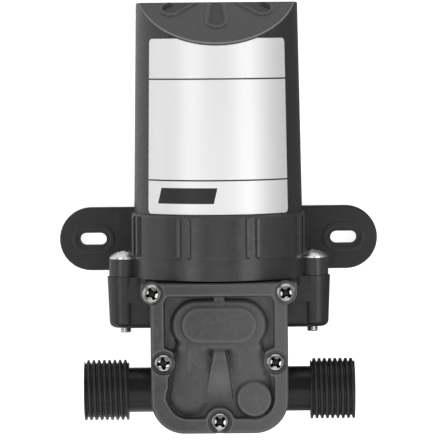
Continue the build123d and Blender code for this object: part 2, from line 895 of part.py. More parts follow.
def make_bearing_clip():
    start = chamber_y - rod_bearing_width / 2 - seat_gap - running_gap
    clip = tube_along(crank_pin_radius + clip_height, crank_pin_radius - clip_height / 2 + fit_gap,
                      start, clip_thickness - 2 * running_gap, crank_height)
    return clip - block((-clip_opening / 2, clip_opening / 2), (start - 2, start + 1), (0, crank_height))


def make_connecting_rod():
    ring_radius = rod_bearing_outer_radius + rod_ring_wall
    start = chamber_y + rod_bearing_width / 2
    rod = disc_along(ring_radius, start, rod_bearing_width, crank_height)
    half = chamber_spacing / 2
    bar = level(crossbar_top - crossbar_thickness) * slot_along_x(
        0, chamber_y, chamber_spacing + crossbar_depth, crossbar_depth)
    rod += extrude(bar, crossbar_thickness)
    cheek = across(start, 0) * make_face(Polyline(
        [(-half, crossbar_top - crossbar_thickness), (half, crossbar_top - crossbar_thickness),
         (ring_radius * 0.92, crank_height + ring_radius * 0.3),
         (-ring_radius * 0.92, crank_height + ring_radius * 0.3)], close=True))
    rod += extrude(cheek, rod_bearing_width)
    for side in (-1, 1):
        rod += post(side * half, chamber_y, pad_radius, crossbar_top - 1, pad_top)
    rod -= disc_along(rod_bearing_outer_radius + fit_gap, start + past,
                      rod_bearing_width + 2 * past, crank_height)
    for side in (-1, 1):
        hole_bottom = screw_bottom() - hole_end_gap
        rod -= post(side * half, chamber_y, piston_screw_radius, hole_bottom, pad_top + past)
    return rod


def screw_bottom():
    """Lowest point of the piston screws, above the rod's bearing."""
    return crossbar_top - crossbar_thickness + piston_screw_floor


def around_piston(points, side):
    """Solid of revolution round one piston's upright axis from points (radius, z)."""
    profile = Plane.XZ * make_face(Polyline(points, close=True))
    return Pos(side * chamber_spacing / 2, chamber_y, 0) * revolve(profile, Axis.Z)


def make_diaphragm():
    rim = chamber_radius_bore + diaphragm_margin
    outline = slot_along_x(0, chamber_y, chamber_spacing + 2 * rim, 2 * rim)
    sheet = extrude(level(body_top) * outline, diaphragm_thickness)
    for side in (-1, 1):
        sheet -= post(side * chamber_spacing / 2, chamber_y, chamber_radius_bore,
                      body_top - past, diaphragm_top + past)
    for side in (-1, 1):
        sheet += around_piston([
            (piston_screw_radius + seat_gap, body_top - throw),
            (piston_radius, body_top - throw),
            (chamber_radius_bore, body_top),
            (chamber_radius_bore, diaphragm_top),
            (piston_radius, diaphragm_top - throw),
            (piston_screw_radius + seat_gap, diaphragm_top - throw)], side)
    return sheet


def make_pistons():
    pistons = Part()
    low = diaphragm_top - throw
    high = low + piston_thickness
    for side in (-1, 1):
        pistons += around_piston([
            (piston_screw_radius + seat_gap, low),
            (piston_radius, low),
            (piston_radius, high - 0.5),
            (piston_radius - 0.5, high),
            (piston_screw_head + seat_gap, high),
            (piston_screw_radius + seat_gap, high - (piston_screw_head - piston_screw_radius))], side)
    return pistons


def make_piston_screws():
    screws = Part()
    high = diaphragm_top - throw + piston_thickness
    for side in (-1, 1):
        screw = around_piston([
            (0, screw_bottom()),
            (piston_screw_radius - fit_gap, screw_bottom()),
            (piston_screw_radius - fit_gap, high - (piston_screw_head - piston_screw_radius) - running_gap),
            (piston_screw_head - fit_gap, high - running_gap),
            (0, high - running_gap)], side)
        place = level(high - running_gap) * Pos(side * chamber_spacing / 2, chamber_y)
        cross = place * cross_recess(piston_screw_cross_width, piston_screw_cross_length)
        screws += screw - extrude(cross, -piston_screw_cross_depth)
    return screws


def cross_recess(width, length):
    """Sketch of a cross-head recess."""
    return Rectangle(width, length) + Rectangle(length, width)


def head_outline(inset):
    """Outline of the cover and what lies under it, with two ears at its upper corners."""
    half = body_width / 2 - inset
    top = cover_top_y - inset
    bottom = cover_bottom_y + inset
    body = Pos(0, (top + bottom) / 2) * Rectangle(2 * half, top - bottom)
    low_corners = body.vertices().group_by(Axis.Y)[0]
    outline = fillet(low_corners, cover_corner - inset)
    for x, y in head_screw_places[:2]:
        side = 1 if x > 0 else -1
        outer = x + side * (cover_ear_radius - inset)
        square = Pos((x + outer) / 2, (y + top) / 2) * Rectangle(abs(outer - x), top - y)
        outline += Pos(x, y) * Circle(cover_ear_radius - inset) + square
    return outline


def tower(side):
    """Tapered boss round the flange bolt, with a web to the body that is thinner in front."""
    place = across(collar_front) * Pos(side * lug_spacing / 2, 0)
    boss = extrude(place * Circle(tower_radius), tower_depth, taper=tower_angle)
    boss = fillet(boss.edges().group_by(Axis.Y)[0], tower_corner)
    x_range = sorted((side * body_width / 2 * 0.8, side * lug_spacing / 2))
    for length, half_height in ((tower_step, tower_upper_web), (tower_depth, tower_lower_web)):
        boss += block(x_range, (collar_front - length, collar_front),
                      (axis_height - half_height, axis_height + half_height))
    return boss


def make_pump_body():
    half = body_width / 2
    body = disc_along(body_shell_radius, collar_front, collar_front - body_front)
    body += block((-half, half), (body_front, cover_top_y), (axis_height, body_top))
    body += disc_along(mate_flange_radius, collar_front, mate_flange_length)
    for side in (-1, 1):
        body += tower(side)
    for x, y in head_screw_places[:2]:
        body += post(x, y, cover_ear_radius - shelf_inset, axis_height, body_top)
    shelf = extrude(level(housing_bottom - shelf_thickness) * head_outline(shelf_inset), shelf_thickness)
    body += shelf & block((-beyond, beyond), (-beyond, body_front + 2 * past), (0, body_top))
    # Nothing stands above the diaphragm's seat, or above the lower seat of the port housing.
    body -= block((-beyond, beyond), (-beyond, beyond), (body_top, beyond))
    body -= block((-beyond, beyond), (-beyond, body_front), (housing_bottom, beyond))
    cavity_start = collar_front + past
    cavity = disc_along(body_cavity_radius, cavity_start, cavity_start - body_cavity_end)
    body -= cavity & block((-beyond, beyond), (-beyond, beyond), (0, body_top - deck_thickness))
    slot_width_inside = 2 * (chamber_radius_bore + deck_slot_gap)
    window = slot_along_x(0, chamber_y, chamber_spacing + slot_width_inside, slot_width_inside)
    body -= extrude(level(body_top - deck_thickness - past) * window, beyond)
    for side in (-1, 1):
        place = across(collar_front + past) * Pos(side * lug_spacing / 2, 0)
        body -= extrude(place * Circle(flange_bolt_radius + fit_gap), tower_depth + 2 * past)
    for place in head_screw_places:
        body -= head_screw_hole(place)
    return body


def screw_end(place):
    """Height at which a head screw ends, inside the pump body."""
    return (body_top if place[1] > body_front else housing_bottom) - head_screw_bite_at(place)


def head_screw_bite_at(place):
    return head_screw_bite if place[1] > body_front else shelf_thickness - lower_screw_floor


def head_screw_hole(place):
    x, y = place
    return post(x, y, head_screw_radius + fit_gap, screw_end(place) - hole_end_gap, cover_front + past)


def clearance_hole(place):
    x, y = place
    return post(x, y, head_screw_radius + seat_gap, housing_bottom - past, cover_front + past)


def counterbore_depth(place):
    return upper_counterbore if place in head_screw_places[:2] else lower_counterbore


def make_head_screws():
    screws = Part()
    for place, turn in zip(head_screw_places, head_screw_turns):
        x, y = place
        seat = cover_front - counterbore_depth(place)
        shank = post(x, y, head_screw_radius, screw_end(place), seat)
        head = post(x, y, head_screw_head, seat, seat + head_screw_head_height)
        head = fillet(head.edges().group_by(Axis.Z)[-1], head_screw_head_height * 0.55)
        cross = Pos(x, y) * Rot(0, 0, turn) * cross_recess(cross_width, cross_length)
        top = level(seat + head_screw_head_height)
        screws += shank + head - extrude(top * cross, -cross_depth)
    return screws


def valve_places(row):
    """Centres of the two valves of one row; row 1 lets water in and -1 lets it out."""
    y = chamber_y + row * valve_pitch / 2
    return [(side * chamber_spacing / 2, y) for side in (-1, 1)]


def umbrella_valve(place, face, side):
    """Rubber disc with a barbed stem; side 1 lies above its face and -1 below it."""
    x, y = place
    root = valve_stem_length
    disc = [(0, 0), (valve_radius, 0), (valve_radius, side * valve_disc * 0.5),
            (valve_radius * 0.6, side * valve_disc), (0, side * valve_disc)]
    knob = valve_stem_radius + valve_knob
    tip = root + valve_knob_length
    stem = [(0, 0), (valve_stem_radius, 0), (valve_stem_radius, -side * (root + running_gap)),
            (knob, -side * (root + 2 * running_gap)), (knob * 0.6, -side * tip), (0, -side * tip)]
    valve = Part()
    for points in (disc, stem):
        profile = Plane.XZ * make_face(Polyline(points, close=True))
        valve += revolve(profile, Axis.Z)
    return Pos(x, y, face) * valve


def make_inlet_valves():
    face = chamber_roof + valve_disc + valve_seat_gap
    valves = Part()
    for place in valve_places(1):
        valves += umbrella_valve(place, face, -1)
    return valves


def make_outlet_valves():
    face = housing_top - valve_disc - valve_seat_gap
    valves = Part()
    for place in valve_places(-1):
        valves += umbrella_valve(place, face, 1)
    return valves


def make_port_housing():
    flat = extrude(level(diaphragm_top) * head_outline(shelf_inset), housing_top - diaphragm_top)
    deep = extrude(level(housing_bottom) * head_outline(shelf_inset), housing_top - housing_bottom)
    housing = flat + (deep & block((-beyond, beyond), (-beyond, body_front - seat_gap), (0, beyond)))
    # A lip fills the band round the diaphragm, down to the pump body.
    lip = extrude(level(body_top) * head_outline(shelf_inset), diaphragm_thickness)
    rim = chamber_radius_bore + diaphragm_margin + seat_gap
    window = slot_along_x(0, chamber_y, chamber_spacing + 2 * rim, 2 * rim)
    lip -= extrude(level(body_top - past) * window, beyond)
    housing += lip & block((-beyond, beyond), (body_front - 2 * past, beyond), (0, beyond))
    for side in (-1, 1):
        housing += port_outside(side)
    for side in (-1, 1):
        housing -= port_bore(side)
        housing -= post(side * chamber_spacing / 2, chamber_y, chamber_radius_bore,
                        diaphragm_top - past, chamber_roof)
    pocket = valve_disc + valve_seat_gap
    knob = valve_stem_radius + valve_knob + seat_gap
    for place in valve_places(1):
        housing -= post(*place, valve_radius + valve_rim_gap, chamber_roof - past, chamber_roof + pocket)
        housing -= post(*place, knob, housing_top - valve_knob_length, housing_top + past)
        housing -= valve_holes(place)
    for place in valve_places(-1):
        housing -= post(*place, valve_radius + valve_rim_gap, housing_top - pocket, housing_top + past)
        housing -= post(*place, knob, chamber_roof - past, chamber_roof + valve_knob_length)
        housing -= valve_holes(place)
    for x, y, radius in (left_channel_end, disc_end):
        housing -= post(x, port_y, drop_radius, port_z, housing_top + past)
    for place in head_screw_places:
        housing -= clearance_hole(place)
    return housing


def valve_holes(place):
    """Stem hole with a ring of small water holes under the valve's disc."""
    x, y = place
    holes = post(x, y, valve_stem_radius + running_gap, chamber_roof - past, housing_top + past)
    for number in range(4):
        angle = radians(90 * number + 45)
        holes += post(x + valve_port_circle * cos(angle), y + valve_port_circle * sin(angle),
                      valve_port_radius, chamber_roof - past, housing_top + past)
    return holes


def port_place(x):
    """Plane square to the ports' axis; it extrudes towards +X."""
    return Plane(origin=(x, port_y, port_z), x_dir=(0, 1, 0), z_dir=(1, 0, 0))


def port_outside(side):
    neck_start = body_width / 2 - 3
    neck = extrude(port_place(neck_start) * Circle(port_neck_radius), port_root - neck_start)
    thread = extrude(port_place(port_root) * Circle(port_thread_radius), port_thread_length)
    thread = chamfer(thread.edges().group_by(Axis.X)[-1], port_chamfer)
    thread = chamfer(thread.edges().group_by(Axis.X)[0], port_chamfer / 2)
    port = neck + thread
    return port if side > 0 else mirrored(port)


def port_bore(side):
    tip = port_span / 2
    bore = extrude(port_place(tip - port_bore_depth) * Circle(port_bore_radius), port_bore_depth + past)
    start = port_rib_wall / 2
    bore += extrude(port_place(start) * Circle(port_way_radius), tip - start)
    return bore if side > 0 else mirrored(bore)


def gallery_sketches():
    """Water ways under the cover: the inlet's on the left and the outlet's on the right."""
    half = chamber_spacing / 2
    inlet_y = chamber_y + valve_pitch / 2
    outlet_y = chamber_y - valve_pitch / 2
    row = gallery_width / 2
    side = gallery_side_width / 2
    inlet = blend_of((half, inlet_y, row), (-half, inlet_y, row))
    inlet += blend_of((-half, inlet_y, row), (-gallery_side, inlet_y - 1, side))
    inlet += blend_of((-gallery_side, inlet_y - 1, side), (-gallery_side + 1, left_channel_top[1], side))
    lower_end = (left_channel_end[0], port_y, drop_radius)
    inlet += blend_of((-gallery_side + 1, left_channel_top[1], side), lower_end)
    outlet = blend_of((-half, outlet_y, row), (half, outlet_y, row))
    outlet += blend_of((half, outlet_y, row), (right_channel_top[0], right_channel_top[1], row))
    outlet += blend_of((right_channel_top[0], right_channel_top[1], row), (disc_end[0], port_y, drop_radius))
    return inlet + outlet


def make_cover_gasket():
    gasket = extrude(level(housing_top) * head_outline(shelf_inset), gasket_thickness)
    gasket -= extrude(level(housing_top - past) * gallery_sketches(), gasket_thickness + 2 * past)
    for place in head_screw_places:
        gasket -= clearance_hole(place)
    return gasket


def recess_sketch():
    """Sunken field of the cover, inside its rim and clear of the screw bosses."""
    half = body_width / 2 - rim_width
    divide = head_screw_places[2][1]
    upper = Pos(0, (recess_top + divide) / 2) * Rectangle(2 * half, recess_top - divide)
    field = fillet(upper.vertices().group_by(Axis.Y)[-1], recess_corner)
    left = lower_left_rim - body_width / 2
    lower_middle = Pos((left + half) / 2, (divide + recess_bottom) / 2)
    lower = lower_middle * Rectangle(half - left, divide - recess_bottom)
    field += fillet(lower.vertices().group_by(Axis.Y)[0], cover_corner - rim_width)
    for x, y in head_screw_places:
        field -= Pos(x, y) * Circle(boss_radius)
    return field


def on_recess_floor(sketch, top):
    """Raised form on the sunken field, up to the height top and rooted in the floor."""
    root = recess_floor - past / 2
    return extrude(level(root) * sketch, top - root)


def round_top(solid, radius):
    """Round the edges of the solid's highest face."""
    return fillet(solid.faces().sort_by(Axis.Z)[-1].edges(), radius)


def make_head_cover():
    cover = extrude(level(cover_back) * head_outline(0), cover_front - cover_back)
    cover = round_top(cover, cover_edge)
    cover -= extrude(level(recess_floor) * recess_sketch(), recess_depth + past)

    stadium = slot_along_x(0, chamber_y, stadium_width, stadium_depth)
    cover += round_top(on_recess_floor(stadium, raised_top), stadium_round)
    pad = on_recess_floor(slot_along_x(0, chamber_y, pad_width, pad_depth), raised_top + pad_step)
    cover += round_top(pad, pad_step / 2)
    left = on_recess_floor(blend_of(left_channel_top, left_channel_end), raised_top)
    cover += round_top(left, left_channel_round)
    right = on_recess_floor(blend_of(right_channel_top, disc_end), raised_top)
    cover += round_top(right, right_channel_round)
    x, y, radius = disc_end
    disc = on_recess_floor(Pos(x, y) * Circle(radius - raised_round), raised_top + disc_step)
    cover += round_top(disc, disc_step / 2)
    top, bottom = wedge_top, wedge_bottom
    wedge = make_face(Polyline([(-top[2], top[1]), (top[2], top[1]),
                                (bottom[2], bottom[1]), (-bottom[2], bottom[1])], close=True))
    cover += on_recess_floor(wedge, recess_floor + wedge_height)
    web_start = chamber_y + stadium_depth / 2 - past
    web = Pos(0, (web_start + recess_top) / 2) * Rectangle(web_width, recess_top - web_start + past)
    cover += on_recess_floor(web, raised_top - web_drop)

    cover -= extrude(level(cover_back - past) * gallery_sketches(), gallery_depth + past)
    for place in head_screw_places:
        x, y = place
        cover -= clearance_hole(place)
        cover -= post(x, y, counterbore_radius, cover_front - counterbore_depth(place), cover_front + past)
    return cover


def write(name, shape):
    """Write one node, as one solid or as a group of separate solids."""
    solids = shape.solids()
    node = solids[0] if len(solids) == 1 else Compound(children=list(solids))
    node.label = name
    export_step(node, f"parts/{name}.step")
    print(name, len(solids), round(sum(solid.volume for solid in solids), 1))


os.makedirs("parts", exist_ok=True)
front_outer, front_balls, front_inner = make_front_bearing()
rod_outer, rod_balls, rod_inner = make_rod_bearing()
nodes = {
    "mounting_foot": make_mounting_foot(),
    "foot_screws": make_foot_screws(),
    "motor_flange": make_motor_flange(),
    "flange_bolts": make_flange_bolts(),
    "shroud_seal": make_shroud_seal(),
    "motor_shroud": make_motor_shroud(),
    "rating_label": make_rating_label(),
    "cable_grommet": make_cable_grommet(),
    "motor_can": make_motor_can(),
    "rear_bush": make_rear_bush(),
    "field_magnets": make_field_magnets(),
    "tie_bolts": make_tie_bolts(),
    "brush_plate": make_brush_plate(),
    "carbon_brushes": make_carbon_brushes(),
    "brush_springs": make_brush_springs(),
    "armature_core": make_armature_core(),
    "armature_winding": make_armature_winding(),
    "commutator": make_commutator(),
    "motor_shaft": make_motor_shaft(),
    "front_bearing_outer": front_outer,
    "front_bearing_balls": front_balls,
    "front_bearing_inner": front_inner,
    "eccentric": make_eccentric(),
    "eccentric_screw": make_eccentric_screw(),
    "rod_bearing_inner": rod_inner,
    "rod_bearing_balls": rod_balls,
    "rod_bearing_outer": rod_outer,
    "bearing_clip": make_bearing_clip(),
    "connecting_rod": make_connecting_rod(),
    "diaphragm": make_diaphragm(),
    "pistons": make_pistons(),
    "piston_screws": make_piston_screws(),
    "pump_body": make_pump_body(),
    "port_housing": make_port_housing(),
    "inlet_valves": make_inlet_valves(),
    "outlet_valves": make_outlet_valves(),
    "cover_gasket": make_cover_gasket(),
    "head_cover": make_head_cover(),
    "head_screws": make_head_screws(),
}
for node_name, node_shape in nodes.items():
    write(node_name, node_shape)
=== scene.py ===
import math

import bmesh
import bpy
from mathutils import Matrix, Vector


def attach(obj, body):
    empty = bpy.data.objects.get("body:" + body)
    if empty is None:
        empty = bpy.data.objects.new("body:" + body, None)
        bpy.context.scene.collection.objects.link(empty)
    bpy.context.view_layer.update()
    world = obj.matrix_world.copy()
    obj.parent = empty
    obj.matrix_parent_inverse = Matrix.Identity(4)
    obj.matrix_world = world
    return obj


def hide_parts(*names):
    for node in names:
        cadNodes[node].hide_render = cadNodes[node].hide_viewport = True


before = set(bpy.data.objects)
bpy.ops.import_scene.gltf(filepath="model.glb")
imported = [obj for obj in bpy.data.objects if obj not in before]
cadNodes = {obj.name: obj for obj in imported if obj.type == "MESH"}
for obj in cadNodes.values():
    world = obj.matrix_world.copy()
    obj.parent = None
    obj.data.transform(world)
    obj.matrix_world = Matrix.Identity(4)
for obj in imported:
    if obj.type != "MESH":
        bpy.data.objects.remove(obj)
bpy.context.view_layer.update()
mm = 0.001
motorAxis = 32.0  # its height in mm

print("frame loaded:", len(cadNodes), "nodes")


# Camera, standing over the pump as the photographer did
view = {
    "imageSize": 440,
    "focalPixels": 3270,
    "sensor": 36,
    "clip": (0.05, 20),
    "height": 1172 * mm,
    "footY": 70.7 * mm,
    "aimX": 0.6 * mm,
    "aimY": 6.2 * mm,
    "roll": math.radians(0.5),
}


def makeCamera():
    data = bpy.data.cameras.new("camera")
    data.sensor_width = view["sensor"]
    data.lens = view["focalPixels"] / view["imageSize"] * view["sensor"]
    data.clip_start, data.clip_end = view["clip"]
    camera = bpy.data.objects.new("camera", data)
    bpy.context.scene.collection.objects.link(camera)
    place = Vector((view["aimX"], view["footY"], view["height"]))
    back = (place - Vector((view["aimX"], view["aimY"], 0))).normalized()
    level = Vector((1, 0, 0))
    up = back.cross(level)
    right = level * math.cos(view["roll"]) - up * math.sin(view["roll"])
    up = back.cross(right)
    turn = Matrix((right, up, back)).transposed()
    camera.matrix_world = Matrix.Translation(place) @ turn.to_4x4()
    bpy.context.scene.camera = camera


# Node helpers
def startMaterial(name):
    made = bpy.data.materials.new(name)
    made.use_nodes = True
    tree = made.node_tree
    coords = tree.nodes.new("ShaderNodeTexCoord")
    return made, tree, tree.nodes["Principled BSDF"], coords.outputs["Object"]


def feed(tree, source, target):
    # Another node's output is linked, a number or colour is set
    if isinstance(source, bpy.types.NodeSocket):
        tree.links.new(source, target)
    else:
        target.default_value = source


def noiseOf(tree, coords, scale, detail, stretch=(1, 1, 1)):
    mapping = tree.nodes.new("ShaderNodeMapping")
    mapping.inputs["Scale"].default_value = stretch
    tree.links.new(coords, mapping.inputs["Vector"])
    noise = tree.nodes.new("ShaderNodeTexNoise")
    noise.inputs["Scale"].default_value = scale
    noise.inputs["Detail"].default_value = detail
    tree.links.new(mapping.outputs["Vector"], noise.inputs["Vector"])
    return noise.outputs["Fac"]


def spread(tree, source, low, high, outLow, outHigh):
    ramp = tree.nodes.new("ShaderNodeMapRange")
    ramp.inputs["From Min"].default_value = low
    ramp.inputs["From Max"].default_value = high
    ramp.inputs["To Min"].default_value = outLow
    ramp.inputs["To Max"].default_value = outHigh
    tree.links.new(source, ramp.inputs["Value"])
    return ramp.outputs["Result"]


def cloudsOf(tree, coords, scale, detail, low, high, stretch=(1, 1, 1), outHigh=1):
    return spread(tree, noiseOf(tree, coords, scale, detail, stretch), low, high, 0, outHigh)


def reckon(tree, operation, first, second):
    node = tree.nodes.new("ShaderNodeMath")
    node.operation = operation
    feed(tree, first, node.inputs[0])
    feed(tree, second, node.inputs[1])
    return node.outputs["Value"]


def reckonVectors(tree, operation, first, second, result="Value"):
    node = tree.nodes.new("ShaderNodeVectorMath")
    node.operation = operation
    feed(tree, first, node.inputs[0])
    feed(tree, second, node.inputs[1])
    return node.outputs[result]


def partsOf(tree, source):
    parts = tree.nodes.new("ShaderNodeSeparateXYZ")
    tree.links.new(source, parts.inputs["Vector"])
    return parts.outputs


def blendColours(tree, share, first, second):
    mix = tree.nodes.new("ShaderNodeMix")
    mix.data_type = "RGBA"
    tree.links.new(share, mix.inputs["Factor"])
    for colour, target in ((first, mix.inputs["A"]), (second, mix.inputs["B"])):
        feed(tree, (*colour, 1) if isinstance(colour, tuple) else colour, target)
    return mix.outputs["Result"]


def bumpOf(tree, height, distance, strength, under=None):
    bump = tree.nodes.new("ShaderNodeBump")
    bump.inputs["Strength"].default_value = strength
    bump.inputs["Distance"].default_value = distance * mm
    tree.links.new(height, bump.inputs["Height"])
    if under is not None:
        tree.links.new(under, bump.inputs["Normal"])
    return bump.outputs["Normal"]


def scaled(colour, factor):
    return tuple(min(1.0, c * factor) for c in colour)


# White paper: mirrored in the pump it is painted paler, and a painted shade darkens its lower right
paper = {
    "halfSide": 2.5,
    "drop": 0.3 * mm,
    "rough": 0.9,
    "plain": (0.7, 0.7, 0.7),
    "mirrored": (0.95, 0.95, 0.95),
    "paintedShade": (0.15, 0.15, 0.15),
    "paintedShadeAcross": (-0.02, 0.05),
    "paintedShadeUpTo": (0.085, 0.12),
    "glow": 0.86,
}


def whitePaper():
    made, tree, shader, coords = startMaterial("white_paper")
    shader.inputs["Roughness"].default_value = paper["rough"]
    path = tree.nodes.new("ShaderNodeLightPath")
    place = partsOf(tree, coords)
    # Painted shade: only in reflections, the paper darkens to the right of the pump and below its top
    shade = spread(tree, place["X"], *paper["paintedShadeAcross"], 0, 1)
    shade = reckon(tree, "MULTIPLY", shade, spread(tree, place["Y"], *paper["paintedShadeUpTo"], 1, 0))
    mirrored = blendColours(tree, shade, paper["mirrored"], paper["paintedShade"])
    plain = blendColours(tree, path.outputs["Is Glossy Ray"], paper["plain"], mirrored)
    tree.links.new(plain, shader.inputs["Base Color"])
    # The camera sees white paper with only the deepest shadows left in it
    glow = tree.nodes.new("ShaderNodeEmission")
    lift = reckon(tree, "MULTIPLY", path.outputs["Is Camera Ray"], paper["glow"])
    tree.links.new(lift, glow.inputs["Strength"])
    both = tree.nodes.new("ShaderNodeAddShader")
    tree.links.new(shader.outputs["BSDF"], both.inputs[0])
    tree.links.new(glow.outputs["Emission"], both.inputs[1])
    tree.links.new(both.outputs["Shader"], tree.nodes["Material Output"].inputs["Surface"])
    return made


def makeFloor():
    bm = bmesh.new()
    bmesh.ops.create_grid(bm, x_segments=1, y_segments=1, size=paper["halfSide"])
    bmesh.ops.translate(bm, verts=bm.verts, vec=(0, 0, -paper["drop"]))
    mesh = bpy.data.meshes.new("floor")
    bm.to_mesh(mesh)
    bm.free()
    mesh.materials.append(whitePaper())
    floor = bpy.data.objects.new("floor", mesh)
    bpy.context.scene.collection.objects.link(floor)


# The main boxes stand over the picture's lower half; each has place, width, length and power
studio = {
    "room": 0.4,
    "backdrop": 1.0,
    "aim": (0, 0, 0.04),
    "boxes": {
        "leftBox": ((-0.9, -0.3, 1.25), 0.55, 1.6, 4.8),
        "rightBox": ((1.05, -0.3, 1.2), 0.7, 1.6, 6.8),
        "topBox": ((0.0, -0.75, 1.4), 0.7, 1.5, 3.4),
        "farBox": ((0.0, 1.3, 0.35), 1.6, 0.5, 2.2),
        "nearBox": ((0.0, -1.3, 0.5), 1.6, 0.7, 2.6),
        "leftWindow": ((-1.3, 0.2, 0.25), 0.4, 1.2, 1.0),
    },
}


def softbox(name, place, width, length, power):
    # Its length lies along the pump's
    data = bpy.data.lights.new(name, "AREA")
    data.shape = "RECTANGLE"
    data.size = width
    data.size_y = length
    data.energy = power
    light = bpy.data.objects.new(name, data)
    bpy.context.scene.collection.objects.link(light)
    back = (Vector(place) - Vector(studio["aim"])).normalized()
    across = Vector((0, 1, 0)).cross(back).normalized()
    turn = Matrix((across, back.cross(across), back)).transposed()
    light.matrix_world = Matrix.Translation(place) @ turn.to_4x4()


def makeWorld():
    # The room lights the pump, and the camera sees a white backdrop
    world = bpy.data.worlds.new("studio")
    bpy.context.scene.world = world
    world.use_nodes = True
    tree = world.node_tree
    room = tree.nodes["Background"]
    backdrop = tree.nodes.new("ShaderNodeBackground")
    for light, strength in ((room, studio["room"]), (backdrop, studio["backdrop"])):
        light.inputs["Color"].default_value = (1, 1, 1, 1)
        light.inputs["Strength"].default_value = strength
    path = tree.nodes.new("ShaderNodeLightPath")
    mix = tree.nodes.new("ShaderNodeMixShader")
    tree.links.new(path.outputs["Is Camera Ray"], mix.inputs["Fac"])
    tree.links.new(room.outputs["Background"], mix.inputs[1])
    tree.links.new(backdrop.outputs["Background"], mix.inputs[2])
    tree.links.new(mix.outputs["Shader"], tree.nodes["World Output"].inputs["Surface"])


bpy.context.scene.view_settings.view_transform = "Standard"
makeCamera()
makeFloor()
makeWorld()
for boxName, box in studio["boxes"].items():
    softbox(boxName, *box)
print("stage built")


# Most noise keeps between these two, which a finish spreads over its shades and its roughness
noiseLow, noiseHigh = 0.3, 0.7


def roughen(tree, shader, noise, least, most):
    tree.links.new(spread(tree, noise, noiseLow, noiseHigh, least, most), shader.inputs["Roughness"])


# What all plastics share
moulding = {
    "clouds": {"scale": 110, "detail": 4, "low": noiseLow, "high": noiseHigh},
    "flecks": {"scale": 620, "detail": 3, "low": 0.34, "high": 0.66},
    "scuffs": {"scale": 210, "detail": 10, "low": 0.6, "high": 0.74, "stretch": (1, 0.3, 1)},
    "scuffed": 2.2,
    "gloss": {"scale": 420, "detail": 4},
    "glossier": 0.05,
    "duller": 0.07,
    "poreDetail": 3,
    "poreStrength": 0.5,
    "waves": {"scale": 60, "detail": 2},
    "waveDepth": 0.06,
    "waveStrength": 0.3,
    "edgeSamples": 6,
    "edgeTurn": (0.99, 0.88),
}


def roundedEdges(tree, radius):
    # A moulding's edges are never quite sharp: their normals turn, and a mask tells where
    soft = tree.nodes.new("ShaderNodeBevel")
    soft.samples = moulding["edgeSamples"]
    soft.inputs["Radius"].default_value = radius * mm
    face = tree.nodes.new("ShaderNodeNewGeometry")
    turn = reckonVectors(tree, "DOT_PRODUCT", soft.outputs["Normal"], face.outputs["Normal"])
    return soft.outputs["Normal"], spread(tree, turn, *moulding["edgeTurn"], 0, 1)


# The cover's painted shade and light: each mask has its start, its end and the factor on the colour there
casting = {
    "hollows": (0.5, 0.46, 0.3),
    "crests": (0.501, 0.52, 2.3),
    "flanks": (0.985, 0.8, 0.3),
    "spotAt": (0.6 * mm, -45.5 * mm, 61.0 * mm),
    "spot": (6.5 * mm, 2 * mm, 2.4),
    "rightSide": (-12 * mm, 20 * mm, 1.7),
}


def paintCoverShadeAndLight(tree, coords, base, colour, share):
    # Painted shade darkens hollows and steep flanks; painted highlight makes the crests, partly worn too,
    # a spot on the wedge and the right side paler
    face = tree.nodes.new("ShaderNodeNewGeometry").outputs
    masks = {
        "hollows": face["Pointiness"],
        "crests": face["Pointiness"],
        "flanks": partsOf(tree, face["Normal"])["Z"],
        "spot": reckonVectors(tree, "DISTANCE", coords, casting["spotAt"]),
        "rightSide": partsOf(tree, coords)["X"],
    }
    for mask, source in masks.items():
        start, end, factor = casting[mask]
        there = spread(tree, source, start, end, 0, share)
        base = blendColours(tree, there, base, scaled(colour, factor))
    return base


# The shroud's slanted front, through its start, and the line where it meets the round side; the front is
# painted paler as painted light, and the line is a painted highlight
facet = {
    "normal": (0, 1, 0.7),
    "start": (0, 83.8, 40.0),
    "slack": 0.02,
    "paintedFrontLight": 0.5,
    "paler": 2.8,
    "radius": 27.85,
    "lineWidth": 0.2,
}


def slantedFront(tree, coords, base, colour, edgeWearAndHighlight):
    normal = Vector(facet["normal"]).normalized()
    reach = normal.dot(Vector(facet["start"]))
    ahead = reckonVectors(tree, "DOT_PRODUCT", coords, normal)
    front = reckon(tree, "GREATER_THAN", ahead, (reach - facet["slack"]) * mm)
    # Painted light: the slanted front is painted paler
    paintedFrontLight = reckon(tree, "MULTIPLY", front, facet["paintedFrontLight"])
    base = blendColours(tree, paintedFrontLight, base, scaled(colour, facet["paler"]))
    # With y left out, the distance is the one from the motor's axis
    flat = reckonVectors(tree, "MULTIPLY", coords, (1, 0, 1), "Vector")
    out = reckonVectors(tree, "DISTANCE", flat, (0, 0, motorAxis * mm))
    # Painted highlight: a thin pale line along the front's rim
    near = reckon(tree, "GREATER_THAN", ahead, (reach - facet["lineWidth"]) * mm)
    line = reckon(tree, "MULTIPLY", near, reckon(tree, "GREATER_THAN", out, facet["radius"] * mm))
    return blendColours(tree, line, base, scaled(colour, edgeWearAndHighlight))


# The threads are coloured paler than the necks
threads = {"from": 31.25 * mm, "paler": 2.3}


def greyedThreads(tree, coords, base, colour):
    along = reckon(tree, "ABSOLUTE", partsOf(tree, coords)["X"], 0)
    thread = reckon(tree, "GREATER_THAN", along, threads["from"])
    return blendColours(tree, thread, base, scaled(colour, threads["paler"]))
